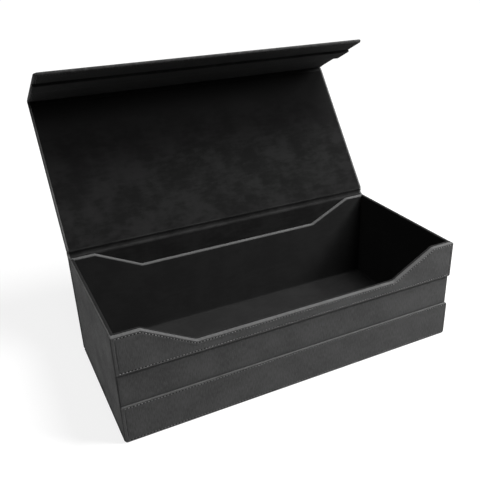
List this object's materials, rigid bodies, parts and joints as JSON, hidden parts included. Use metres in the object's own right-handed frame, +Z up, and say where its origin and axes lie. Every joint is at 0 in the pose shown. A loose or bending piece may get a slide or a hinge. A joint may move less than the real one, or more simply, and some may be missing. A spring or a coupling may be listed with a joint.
{
  "type": "card storage box",
  "caption": "Long rectangular card storage box: an open tray with finger cut-outs inside a wrap-around cover whose hinged lid ends in a magnetic flap.",
  "frame": {"origin": "middle of the tray's footprint, on the surface the box stands on", "axes": "+X along the box's length, +Y from the front lip towards the back fold, +Z up"},
  "size_m": [0.341, 0.2529, 0.2773],
  "materials": {
    "charcoal_leather": "charcoal grained synthetic leather",
    "black_suede": "black brushed suede lining",
    "grey_board": "grey bookbinding board",
    "nickel_magnet": "nickel-plated disc"
  },
  "bodies": {
    "case": {"base_leather": "charcoal_leather", "base_board": "grey_board", "lip_leather": "charcoal_leather", "lip_card": "grey_board", "floor_board": "grey_board", "floor_lining": "black_suede", "left_leather": "charcoal_leather", "left_board": "grey_board", "left_lining": "black_suede", "left_rim": "charcoal_leather", "right_leather": "charcoal_leather", "right_board": "grey_board", "right_lining": "black_suede", "right_rim": "charcoal_leather", "front_leather": "charcoal_leather", "front_board": "grey_board", "front_lining": "black_suede", "front_rim": "charcoal_leather", "wall_magnet_1": "nickel_magnet", "wall_magnet_2": "nickel_magnet", "wall_magnet_3": "nickel_magnet", "wall_magnet_4": "nickel_magnet", "band_leather": "charcoal_leather", "band_card": "grey_board", "rear_leather": "charcoal_leather", "rear_board": "grey_board", "rear_lining": "black_suede", "rear_rim": "charcoal_leather", "back_leather": "charcoal_leather", "back_board": "grey_board", "back_lining": "black_suede", "back_fold_leather": "charcoal_leather", "back_fold_lining": "black_suede"},
    "lid": {"lid_leather": "charcoal_leather", "lid_board": "grey_board", "lid_lining": "black_suede"},
    "flap_fold": {"flap_fold_leather": "charcoal_leather", "flap_fold_lining": "black_suede"},
    "flap": {"flap_leather": "charcoal_leather", "flap_board": "grey_board", "flap_lining": "black_suede", "pad_board": "grey_board", "flap_magnet_1": "nickel_magnet", "flap_magnet_2": "nickel_magnet", "flap_magnet_3": "nickel_magnet", "flap_magnet_4": "nickel_magnet"}
  },
  "joints": [
    {"name": "lid_hinge", "type": "hinge", "parent": "case", "child": "lid", "pos_m": [0, 0.0782, 0.1069], "axis": [-1, 0, 0], "range_deg": [-127, 53], "deforming": ["back_fold_leather", "back_fold_lining"]},
    {"name": "flap_settle", "type": "hinge", "parent": "lid", "child": "flap_fold", "pos_m": [0, 0.17521, 0.23564], "axis": [-1, 0, 0], "range_deg": [-4.2, 10]},
    {"name": "flap_hinge", "type": "hinge", "parent": "flap_fold", "child": "flap", "pos_m": [0, 0.17521, 0.23564], "axis": [-1, 0, 0], "range_deg": [0, 102], "deforming": ["flap_fold_leather", "flap_fold_lining"]}
  ],
  "couplings": [
    {"joint": "flap_settle", "follows": "lid_hinge", "ratio": -0.07874}
  ]
}
